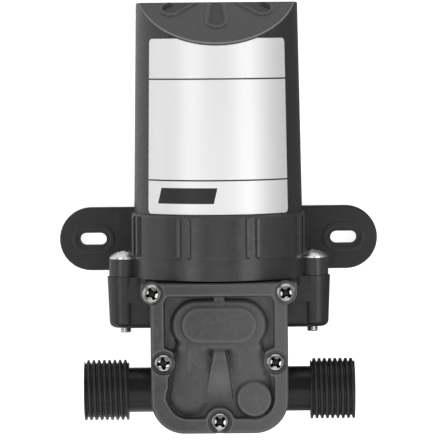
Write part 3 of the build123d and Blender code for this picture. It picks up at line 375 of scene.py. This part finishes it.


# Plastics: colour and roughness, then what sets each moulding apart; depth and rounding are in mm. Edges
# are painted paler, partly as wear and partly as painted highlight
plastics = {
    "foot_plastic": {"colour": (0.034, 0.034, 0.035), "rough": 0.46, "edge": 0.5, "shine": 0.4},
    "collar_plastic": {
        "colour": (0.042, 0.042, 0.043), "rough": 0.28, "mottle": 0.1, "depth": 0.01, "edgeWearAndHighlight": 3,
    },
    "shroud_plastic": {
        "colour": (0.034, 0.034, 0.035), "rough": 0.28, "mottle": 0.1, "depth": 0.01, "edge": 1.0,
        "rounding": 0.5, "edgeWearAndHighlight": 8, "slanted": True,
    },
    "body_plastic": {"colour": (0.026, 0.026, 0.027), "rough": 0.36, "edge": 0.3},
    "port_plastic": {
        "colour": (0.0135, 0.0135, 0.014), "rough": 0.22, "marks": 0.15, "edge": 0.2, "rounding": 0.1,
        "depth": 0.004, "shine": 0.26, "threaded": True,
    },
    "cover_plastic": {
        "colour": (0.068, 0.069, 0.071), "rough": 0.46, "mottle": 0.3, "grain": 1500, "depth": 0.05,
        "marks": 0.5, "edge": 0.3, "paintedCoverLight": 0.6,
    },
    "moulded_plastic": {"colour": (0.5, 0.47, 0.4), "rough": 0.5},
    "ferrite": {"colour": (0.07, 0.07, 0.075), "rough": 0.65, "grain": 900, "depth": 0.05},
    "carbon": {"colour": (0.04, 0.04, 0.04), "rough": 0.55, "grain": 1500, "depth": 0.04},
}


def mouldedPlastic(
    name, colour, rough, mottle=0.14, grain=2600, depth=0.02, marks=0.3, edge=0.6, rounding=0.3,
    edgeWearAndHighlight=5, shine=0.5, paintedCoverLight=0, slanted=False, threaded=False,
):
    made, tree, shader, coords = startMaterial(name)
    clouds = cloudsOf(tree, coords, **moulding["clouds"])
    flecks = cloudsOf(tree, coords, **moulding["flecks"])
    scuffs = cloudsOf(tree, coords, **moulding["scuffs"], outHigh=marks)
    base = blendColours(tree, clouds, scaled(colour, 1 - mottle / 2), scaled(colour, 1 + mottle / 2))
    base = blendColours(tree, flecks, scaled(colour, 1 - mottle), base)
    base = blendColours(tree, scuffs, base, scaled(colour, moulding["scuffed"]))
    soft, rim = roundedEdges(tree, rounding)
    # Wear and painted highlight: the rounded edges are painted paler
    base = blendColours(tree, reckon(tree, "MULTIPLY", rim, edge), base, scaled(colour, edgeWearAndHighlight))
    # On the cover, painted shade and painted highlight
    if paintedCoverLight:
        base = paintCoverShadeAndLight(tree, coords, base, colour, paintedCoverLight)
    if slanted:
        base = slantedFront(tree, coords, base, colour, edgeWearAndHighlight)
    if threaded:
        base = greyedThreads(tree, coords, base, colour)
    tree.links.new(base, shader.inputs["Base Color"])
    gloss = noiseOf(tree, coords, **moulding["gloss"])
    roughen(tree, shader, gloss, rough - moulding["glossier"], rough + moulding["duller"])
    shader.inputs["Specular IOR Level"].default_value = shine
    pores = noiseOf(tree, coords, grain, moulding["poreDetail"])
    pitted = bumpOf(tree, pores, depth, moulding["poreStrength"], soft)
    waves = noiseOf(tree, coords, **moulding["waves"])
    wavy = bumpOf(tree, waves, moulding["waveDepth"], moulding["waveStrength"], pitted)
    tree.links.new(wavy, shader.inputs["Normal"])
    return made


metals = {
    "zinc_steel": {"colour": (0.95, 0.95, 0.94), "rough": 0.24},
    "nickel_steel": {"colour": (0.52, 0.51, 0.5), "rough": 0.13},
    # The screws' cross recesses: near-black steel, a painted shade
    "recess_steel": {"colour": (0.045, 0.044, 0.042), "rough": 0.4},
    "spring_steel": {"colour": (0.5, 0.5, 0.52), "rough": 0.3},
    "can_steel": {"colour": (0.2, 0.2, 0.21), "rough": 0.42},
    "core_steel": {
        "colour": (0.42, 0.42, 0.44), "rough": 0.42, "stretch": (1, 30, 1), "grain": 60, "depth": 0.02,
    },
    "shaft_steel": {"colour": (0.62, 0.62, 0.64), "rough": 0.2, "stretch": (1, 8, 1), "grain": 400},
    "copper_wire": {"colour": (0.6, 0.27, 0.12), "rough": 0.32, "grain": 1500},
    "copper_bars": {"colour": (0.72, 0.4, 0.25), "rough": 0.28, "stretch": (1, 12, 1), "grain": 300},
    "bearing_bronze": {"colour": (0.6, 0.45, 0.25), "rough": 0.45},
}
# What all metals share
polish = {
    "clouds": {"scale": 300, "detail": 5, "low": 0.35, "high": noiseHigh},
    "clouded": 0.75,
    "grainDetail": 6,
    "grainStrength": 0.4,
    "glossier": 0.05,
    "duller": 0.08,
}


def metal(name, colour, rough, stretch=(1, 1, 1), grain=900, depth=0.008):
    made, tree, shader, coords = startMaterial(name)
    clouds = cloudsOf(tree, coords, **polish["clouds"])
    base = blendColours(tree, clouds, colour, scaled(colour, polish["clouded"]))
    tree.links.new(base, shader.inputs["Base Color"])
    shader.inputs["Metallic"].default_value = 1
    fine = noiseOf(tree, coords, grain, polish["grainDetail"], stretch)
    roughen(tree, shader, fine, rough - polish["glossier"], rough + polish["duller"])
    tree.links.new(bumpOf(tree, fine, depth, polish["grainStrength"]), shader.inputs["Normal"])
    return made


rubbers = {
    "seal_rubber": {
        "colour": (0.025, 0.025, 0.025),
        "bloom": {"scale": 180, "detail": 6, "low": 0.45, "high": 0.75},
        "bloomed": 1.7,
        "grain": {"scale": 1800, "detail": 4},
        "rough": (0.62, 0.82),
        "depth": 0.03,
        "strength": 0.5,
    },
}


def rubber(name, colour, bloom, bloomed, grain, rough, depth, strength):
    made, tree, shader, coords = startMaterial(name)
    pale = cloudsOf(tree, coords, **bloom)
    base = blendColours(tree, pale, colour, scaled(colour, bloomed))
    tree.links.new(base, shader.inputs["Base Color"])
    fine = noiseOf(tree, coords, **grain)
    roughen(tree, shader, fine, *rough)
    tree.links.new(bumpOf(tree, fine, depth, strength), shader.inputs["Normal"])
    return made


# Silver sticker with its two rules and its bar, all without words
label = {
    "foil": (0.985, 0.985, 0.99),
    "sheen": {"scale": 140, "detail": 3, "low": noiseLow, "high": noiseHigh, "stretch": (1, 0.12, 1)},
    "sheenShade": 0.97,
    "metallic": 0.5,
    "grain": {"scale": 900, "detail": 4},
    "rough": (0.46, 0.52),
    "creases": {"scale": 45, "detail": 2, "stretch": (1, 0.5, 1)},
    "creaseDepth": 0.1,
    "creaseStrength": 0.2,
    "ink": (0.011, 0.011, 0.012),
    "rules": (57.5, 22.95),
    "ruleWidth": 0.5,
    "barY": (15.0, 20.4),
    "barX": (-19.95, -0.8),
    "barSlant": 0.235,
}


def between(tree, value, low, high):
    above = reckon(tree, "GREATER_THAN", value, low * mm)
    below = reckon(tree, "LESS_THAN", value, high * mm)
    return reckon(tree, "MULTIPLY", above, below)


def inkedAreas(tree, coords):
    place = partsOf(tree, coords)
    # The bar's ends slant: x is slid along with y, and barX holds at the bar's middle
    slid = reckon(tree, "SUBTRACT", place["X"], reckon(tree, "MULTIPLY", place["Y"], label["barSlant"]))
    shift = label["barSlant"] * sum(label["barY"]) / 2
    left, right = (end - shift for end in label["barX"])
    across, along = between(tree, slid, left, right), between(tree, place["Y"], *label["barY"])
    ink = reckon(tree, "MULTIPLY", across, along)
    half = label["ruleWidth"] / 2
    for middle in label["rules"]:
        ink = reckon(tree, "MAXIMUM", ink, between(tree, place["Y"], middle - half, middle + half))
    return ink


def labelFoil():
    made, tree, shader, coords = startMaterial("label_foil")
    ink = inkedAreas(tree, coords)
    # Painted sheen: faint bands running up the label, painted into the foil's colour
    sheen = cloudsOf(tree, coords, **label["sheen"])
    foil = blendColours(tree, sheen, scaled(label["foil"], label["sheenShade"]), label["foil"])
    tree.links.new(blendColours(tree, ink, foil, label["ink"]), shader.inputs["Base Color"])
    tree.links.new(spread(tree, ink, 0, 1, label["metallic"], 0), shader.inputs["Metallic"])
    roughen(tree, shader, noiseOf(tree, coords, **label["grain"]), *label["rough"])
    folds = noiseOf(tree, coords, **label["creases"])
    creased = bumpOf(tree, folds, label["creaseDepth"], label["creaseStrength"])
    tree.links.new(creased, shader.inputs["Normal"])
    return made


finishes = {"silver_foil": labelFoil()}
for makeFinish, kinds in ((mouldedPlastic, plastics), (metal, metals), (rubber, rubbers)):
    for finish, looks in kinds.items():
        finishes[finish] = makeFinish(finish, **looks)

for piece in cadNodes.values():
    for holder in piece.material_slots:
        holder.material = finishes[holder.material.name.split(".")[0]]
print("finishes given")


# New pieces: points this near each other are merged, and a cut takes points this near to it
mergeWithin = 0.0005 * mm
joinWithin = 0.01 * mm  # for a CAD node's loose triangles
cutWithin = 0.0001 * mm


def addPiece(name, bm, slot, sharpFrom, replaced=None, paintedShadeRecess=False):
    bmesh.ops.remove_doubles(bm, verts=bm.verts, dist=mergeWithin)
    bmesh.ops.recalc_face_normals(bm, faces=bm.faces)
    mesh = bpy.data.meshes.new(name)
    bm.to_mesh(mesh)
    bm.free()
    mesh.materials.append(finishes[slot])
    # The cross recesses take the near-black steel, a painted shade
    if paintedShadeRecess:
        mesh.materials.append(finishes["recess_steel"])
    for face in mesh.polygons:
        face.use_smooth = True
    mesh.set_sharp_from_angle(angle=math.radians(sharpFrom))
    piece = bpy.data.objects.new(name, mesh)
    bpy.context.scene.collection.objects.link(piece)
    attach(piece, "housing")
    if replaced:
        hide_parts(replaced)


def gather(parts):
    whole = bmesh.new()
    for part in parts:
        bmesh.ops.recalc_face_normals(part, faces=part.faces)
        held = bpy.data.meshes.new("held")
        part.to_mesh(held)
        part.free()
        whole.from_mesh(held)
        bpy.data.meshes.remove(held)
    return whole


def joinedCopy(node):
    bm = bmesh.new()
    bm.from_mesh(node.data)
    bmesh.ops.remove_doubles(bm, verts=bm.verts, dist=joinWithin)
    return bm


def chain(bm, points, closed=False):
    verts = [bm.verts.new(Vector(point) * mm) for point in points]
    edges = [bm.edges.new(pair) for pair in zip(verts, verts[1:])]
    if closed:
        edges.append(bm.edges.new((verts[-1], verts[0])))
    return verts + edges


def turned(profile, steps=64):
    # (radius, height) pairs turned about z
    bm = bmesh.new()
    outline = chain(bm, [(radius, 0, height) for radius, height in profile])
    bmesh.ops.spin(
        bm, geom=outline, cent=(0, 0, 0), axis=(0, 0, 1), dvec=(0, 0, 0),
        angle=2 * math.pi, steps=steps, use_merge=True,
    )
    bmesh.ops.remove_doubles(bm, verts=bm.verts, dist=mergeWithin)
    bmesh.ops.recalc_face_normals(bm, faces=bm.faces)
    return bm


# Screws with crosses, their heads standing on z = 0 before they are placed
screwHeads = {
    "domeSteps": 10,
    "rimTop": 0.6,  # of the rim's height
    "corner": 0.1,
    "crossFloor": 0.8,  # of the cross's width
    "sharpFrom": 35,
}
headScrews = {
    # Each with x, y, the height of its seat and of its end, and its turn; the last three have rings
    "screws": (
        (-22.8, -15.35, 61.6, 35.0, 24),
        (22.8, -15.35, 61.6, 35.0, 52),
        (-19.15, -39.2, 60.5, 35.0, 8),
        (19.15, -39.2, 60.5, 35.0, 35),
        (0, -59.4, 60.5, 30.5, 40),
    ),
    "ringed": 3,
    "head": {
        "radius": 3.25, "height": 2.3, "rim": 0.7,
        "armLength": 2.15, "armWidth": 0.6, "web": 1.75, "depth": 1.4,
    },
    "shank": 1.9,
    "tip": 0.4,
}
flangeBolts = {
    "spacing": 65.2,
    "seat": -5.3,
    "turns": (20, -35),
    "head": {
        "radius": 5.5, "height": 3.0, "rim": 0.7,
        "armLength": 2.6, "armWidth": 0.7, "web": 2.0, "depth": 1.6,
    },
    "shank": 2.0,
    "shankLength": 25.8,
    "tip": 0.3,
    "tipNarrower": 0.5,
    "threadPitch": 0.7,
    "threadDepth": 0.35,
    "turnsShown": 5,
}


def domedHead(radius, height, rim, **cross):
    # From the head's middle over its dome and rim to its underside
    dome = height - rim
    sphere = (radius ** 2 + dome ** 2) / (2 * dome)
    bow = math.asin(radius / sphere)
    profile = []
    for step in range(screwHeads["domeSteps"] + 1):
        angle = bow * step / screwHeads["domeSteps"]
        profile.append((sphere * math.sin(angle), height - sphere + sphere * math.cos(angle)))
    corner = screwHeads["corner"]
    return profile + [(radius, rim * screwHeads["rimTop"]), (radius, corner), (radius - corner, 0)]


def cutCross(bm, armLength, armWidth, web, depth, rim, **head):
    # The cross's sides are cut through the dome's faces, and the faces inside are sunk
    arms, webSides = (-armLength, -armWidth, armWidth, armLength), (-web, web)
    cuts = [(Vector(axis), reach) for axis in ((1, 0, 0), (0, 1, 0)) for reach in arms]
    cuts += [(Vector(slope), reach / 2) for slope in ((1, 1, 0), (1, -1, 0)) for reach in webSides]
    for direction, reach in cuts:
        crown = [face for face in bm.faces if face.calc_center_median().z > rim * mm]
        crown += list({part for face in crown for part in (*face.edges, *face.verts)})
        bmesh.ops.bisect_plane(
            bm, geom=crown, dist=cutWithin, plane_co=direction * reach * mm, plane_no=direction,
        )
    cross = []
    for face in bm.faces:
        middle = face.calc_center_median() / mm
        longer, shorter = max(abs(middle.x), abs(middle.y)), min(abs(middle.x), abs(middle.y))
        if middle.z > rim and longer < armLength and (shorter < armWidth or longer + shorter < web):
            cross.append(face)
    sunk = bmesh.ops.extrude_face_region(bm, geom=cross)["geom"]
    floor = [part for part in sunk if isinstance(part, bmesh.types.BMVert)]
    bmesh.ops.delete(bm, geom=[face for face in cross if face.is_valid], context="FACES")
    bmesh.ops.translate(bm, verts=floor, vec=(0, 0, -depth * mm))
    narrower = screwHeads["crossFloor"]
    bmesh.ops.scale(bm, verts=floor, vec=(narrower, narrower, 1))
    # Painted shade: the cross's floor and walls take the near-black recess steel
    for face in {face for vert in floor for face in vert.link_faces}:
        face.material_index = 1


def crossScrew(head, shaft, place):
    bm = turned(domedHead(**head) + shaft)
    cutCross(bm, **head)
    bm.transform(place)
    return bm


def makeHeadScrews():
    screws = []
    shank, tip = headScrews["shank"], headScrews["tip"]
    for x, y, seat, end, turn in headScrews["screws"]:
        length = seat - end
        shaft = [(shank, 0), (shank, tip - length), (shank - tip, -length), (0, -length)]
        place = Matrix.Translation(Vector((x, y, seat)) * mm) @ Matrix.Rotation(math.radians(turn), 4, "Z")
        screws.append(crossScrew(headScrews["head"], shaft, place))
    sharpFrom = screwHeads["sharpFrom"]
    addPiece("head_screws_nickel", gather(screws), "nickel_steel", sharpFrom, "head_screws", paintedShadeRecess=True)


def makeFlangeBolts():
    bolts = []
    shank, pitch, tip = flangeBolts["shank"], flangeBolts["threadPitch"], flangeBolts["tip"]
    end = -flangeBolts["shankLength"]
    shaft = [(shank, 0)]
    for number in range(flangeBolts["turnsShown"], 0, -1):
        crest = end + tip + number * pitch
        shaft += [(shank, crest), (shank - flangeBolts["threadDepth"], crest - pitch / 2)]
    shaft += [(shank, end + tip), (shank - flangeBolts["tipNarrower"], end), (0, end)]
    for side, turn in zip((-1, 1), flangeBolts["turns"]):
        seat = Vector((side * flangeBolts["spacing"] / 2, flangeBolts["seat"], motorAxis))
        upright = Matrix.Rotation(math.radians(-90), 4, "X") @ Matrix.Rotation(math.radians(turn), 4, "Z")
        bolts.append(crossScrew(flangeBolts["head"], shaft, Matrix.Translation(seat * mm) @ upright))
    sharpFrom = screwHeads["sharpFrom"]
    addPiece("flange_bolts_zinc", gather(bolts), "zinc_steel", sharpFrom, "flange_bolts", paintedShadeRecess=True)


makeHeadScrews()
makeFlangeBolts()
print("screws turned")


# Port housing: its body is the CAD one, while the necks are turned and the threads wound here
ports = {
    "axisY": -49.8,
    "axisZ": 46.0,
    "neckFrom": 22.6,
    "mouldingTo": 24.6,
    "mouldingAbove": -38.0,
    "neck": 7.72,
    "root": 31.3,
    "tip": 46.6,
    "radius": 10.4775,
    "pitch": 1.814,
    "depth": 1.162,
    "bore": 6.0,
    # One tooth, along in pitches and out in depths
    "tooth": (
        (-0.43, -0.2), (-0.27, 0.66), (-0.21, 0.9), (-0.1, 1.0),
        (0.1, 1.0), (0.21, 0.9), (0.27, 0.66), (0.43, -0.2),
    ),
    "stepsPerTurn": 72,
    "wallSteps": 96,
    "threadSharpFrom": 50,
    "mouldingSharpFrom": 30,
}


def woundThread(side):
    # The tooth wound along the port, a turn too long at each end and then cut to length
    bm = bmesh.new()
    core, pitch, steps = ports["radius"] - ports["depth"], ports["pitch"], ports["stepsPerTurn"]
    turns = math.ceil((ports["tip"] - ports["root"]) / pitch) + 2
    start = ports["root"] - pitch if side > 0 else -ports["tip"] - pitch
    tooth = [(start + along * pitch, 0, core + out * ports["depth"]) for along, out in ports["tooth"]]
    bmesh.ops.spin(
        bm, geom=chain(bm, tooth, closed=True), cent=(0, 0, 0), axis=(1, 0, 0),
        dvec=(pitch / steps * mm, 0, 0), angle=2 * math.pi * turns, steps=steps * turns,
    )
    for end, outwards in ((ports["tip"], side), (ports["root"], -side)):
        bmesh.ops.bisect_plane(
            bm, geom=bm.verts[:] + bm.edges[:] + bm.faces[:], dist=cutWithin,
            plane_co=(side * end * mm, 0, 0), plane_no=(outwards, 0, 0), clear_outer=True,
        )
    bmesh.ops.holes_fill(bm, edges=[edge for edge in bm.edges if edge.is_boundary], sides=0)
    return bm


def portWall(side):
    # The neck and the plain tube inside the thread, one closed ring turned about the port's axis
    bm = bmesh.new()
    core = ports["radius"] - ports["depth"]
    wall = [
        (ports["neckFrom"], ports["bore"]), (ports["tip"], ports["bore"]), (ports["tip"], core),
        (ports["root"], core), (ports["root"], ports["neck"]), (ports["neckFrom"], ports["neck"]),
    ]
    bmesh.ops.spin(
        bm, geom=chain(bm, [(side * x, 0, radius) for x, radius in wall], closed=True),
        cent=(0, 0, 0), axis=(1, 0, 0), dvec=(0, 0, 0), angle=2 * math.pi,
        steps=ports["wallSteps"], use_merge=True,
    )
    return bm


def makeThreads():
    bm = gather([make(side) for side in (-1, 1) for make in (portWall, woundThread)])
    bmesh.ops.translate(bm, verts=bm.verts, vec=(0, ports["axisY"] * mm, ports["axisZ"] * mm))
    addPiece("port_threads", bm, "port_plastic", ports["threadSharpFrom"])


def makeMoulding():
    # Both ports are cut off the CAD housing, where the turned walls take their place
    bm = joinedCopy(cadNodes["port_housing"])
    cut, above = ports["mouldingTo"] * mm, ports["mouldingAbove"] * mm
    for side in (-1, 1):
        bmesh.ops.bisect_plane(
            bm, geom=bm.verts[:] + bm.edges[:] + bm.faces[:], dist=cutWithin,
            plane_co=(side * cut, 0, 0), plane_no=(side, 0, 0),
        )
        middles = {face: face.calc_center_median() for face in bm.faces}
        port = [face for face, middle in middles.items() if side * middle.x > cut and middle.y < above]
        bmesh.ops.delete(bm, geom=port, context="FACES")
        bmesh.ops.bridge_loops(bm, edges=[edge for edge in bm.edges if edge.is_boundary])
    sharpFrom = ports["mouldingSharpFrom"]
    addPiece("port_housing_moulding", bm, "port_plastic", sharpFrom, "port_housing")


makeThreads()
makeMoulding()
print("ports threaded")


# The towers' lower webs run into the towers with a soft fillet: (inwards, height) about the bolt's axis
webs = {
    "from": -20.1,
    "to": -29.25,
    "shape": ((-0.3, 5.78), (1.0, 5.72), (2.0, 5.58), (3.0, 5.46), (4.2, 5.37), (5.6, 5.32), (10.2, 5.3)),
    "taper": 0.94,
    "corner": 1.8,
    "cornerSteps": 5,
    "sharpFrom": 35,
}


def towerWeb(side):
    bm = bmesh.new()
    axis = Vector((side * flangeBolts["spacing"] / 2, webs["from"], motorAxis))
    outline = list(webs["shape"]) + [(inwards, -height) for inwards, height in reversed(webs["shape"])]
    points = [axis + Vector((-side * inwards, 0, height)) for inwards, height in outline]
    bmesh.ops.contextual_create(bm, geom=chain(bm, points, closed=True))
    grown = bmesh.ops.extrude_face_region(bm, geom=bm.faces[:])["geom"]
    end = [item for item in grown if isinstance(item, bmesh.types.BMVert)]
    bmesh.ops.translate(bm, verts=end, vec=(0, (webs["to"] - webs["from"]) * mm, 0))
    bmesh.ops.scale(bm, verts=end, vec=(1, 1, webs["taper"]), space=Matrix.Translation(-axis * mm))
    rim = [item for item in grown if isinstance(item, bmesh.types.BMEdge)]
    bmesh.ops.bevel(
        bm, geom=rim, offset=webs["corner"] * mm, affect="EDGES", segments=webs["cornerSteps"],
        profile=0.5, material=-1,
    )
    return bm


addPiece("tower_webs", gather([towerWeb(-1), towerWeb(1)]), "body_plastic", webs["sharpFrom"])
print("towers filled out")


# Head cover: its raised channels run softly into the floor round them, as cast ones do
cover = {
    "voxel": 0.34,
    "rounds": 3,
    "smoothing": 0.5,
    "channelRounds": 3,
    "channelBox": ((-17.6, 17.6), (-60.5, -20.0), (57.8, 61.9)),
    "floor": 58.4,
    "height": 2.6,
    "fall": 0.5,
    "wider": 1.07,
    "below": -34.2,
    "easedOver": 2.5,
    # From upper to lower end, channels by (x, y, radius) and the wedge by (y, half width, top)
    "channels": (((-8.9, -34.5, 6.0), (-11.1, -50.7, 6.8)), ((8.9, -34.5, 5.9), (11.8, -51.8, 6.5))),
    "wedge": ((-35.6, 2.5, 60.7), (-53.2, 4.6, 58.55)),
    "disc": (11.8, -51.8, 6.2),
    "ringFloor": 61.05,
    "ringReach": 4.1,
    "sharpFrom": 180,
}


def softened(node, voxel):
    # A watertight, even mesh of a CAD node, for smoothing
    bm = joinedCopy(node)
    held = bpy.data.meshes.new("held")
    bm.to_mesh(held)
    rough = bpy.data.objects.new("held", held)
    bpy.context.scene.collection.objects.link(rough)
    grid = rough.modifiers.new("grid", "REMESH")
    grid.mode = "VOXEL"
    grid.voxel_size = voxel * mm
    bm.clear()
    bm.from_object(rough, bpy.context.evaluated_depsgraph_get())
    bpy.data.objects.remove(rough)
    bpy.data.meshes.remove(held)
    return bm


def crownOf(place, channel):
    # Height over the floor of a half-round channel at that place, or nothing beside it
    (x1, y1, r1), (x2, y2, r2) = channel
    run = Vector((x2 - x1, y2 - y1))
    ahead = place.xy - Vector((x1, y1))
    share = max(0, min(1, ahead.dot(run) / run.length_squared))
    off = (ahead - run * share).length / (r1 + (r2 - r1) * share)
    if off >= 1:
        return None
    return (cover["height"] - cover["fall"] * share) * (1 - (off / cover["wider"]) ** 2)


def wedgeTop(place):
    # Top of the wedge between the channels, which runs down into the floor, or nothing beside it
    (y1, half1, top1), (y2, half2, top2) = cover["wedge"]
    share = (place.y - y1) / (y2 - y1)
    if 0 < share < 1 and abs(place.x) < half1 + (half2 - half1) * share:
        return top1 + (top2 - top1) * share
    return None


def liftRings(bm):
    # The rings round the lower heads are shallow
    rings = [Vector((x, y)) for x, y, *height in headScrews["screws"][-headScrews["ringed"]:]]
    for vert in bm.verts:
        place = vert.co / mm
        near = any((place.xy - ring).length < cover["ringReach"] for ring in rings)
        if near and cover["floor"] < place.z < cover["ringFloor"]:
            vert.co.z = cover["ringFloor"] * mm


def roundChannels(bm):
    x, y, radius = cover["disc"]
    for vert in bm.verts:
        place = vert.co / mm
        onDisc = (place.xy - Vector((x, y))).length < radius
        if onDisc or place.y > cover["below"] or place.z < cover["floor"]:
            continue
        top = wedgeTop(place)
        if top is not None:
            vert.co.z = min(place.z, top) * mm
            continue
        crowns = [crownOf(place, channel) for channel in cover["channels"]]
        crown = max((crown for crown in crowns if crown is not None), default=None)
        if crown is not None:
            ease = min(1, (cover["below"] - place.y) / cover["easedOver"])
            drop = max(0, place.z - cover["floor"] - crown)
            vert.co.z -= drop * ease * mm


def makeCover():
    bm = softened(cadNodes["head_cover"], cover["voxel"])
    roundChannels(bm)
    liftRings(bm)
    inside = []
    for vert in bm.verts:
        if all(low < place / mm < high for place, (low, high) in zip(vert.co, cover["channelBox"])):
            inside.append(vert)
    for verts, rounds in ((inside, cover["channelRounds"]), (bm.verts[:], cover["rounds"])):
        for number in range(rounds):
            bmesh.ops.smooth_vert(
                bm, verts=verts, factor=cover["smoothing"],
                use_axis_x=True, use_axis_y=True, use_axis_z=True,
            )
    print("cover:", len(bm.faces), "faces")
    addPiece("head_cover_casting", bm, "cover_plastic", cover["sharpFrom"], "head_cover")


makeCover()
print("cover softened")
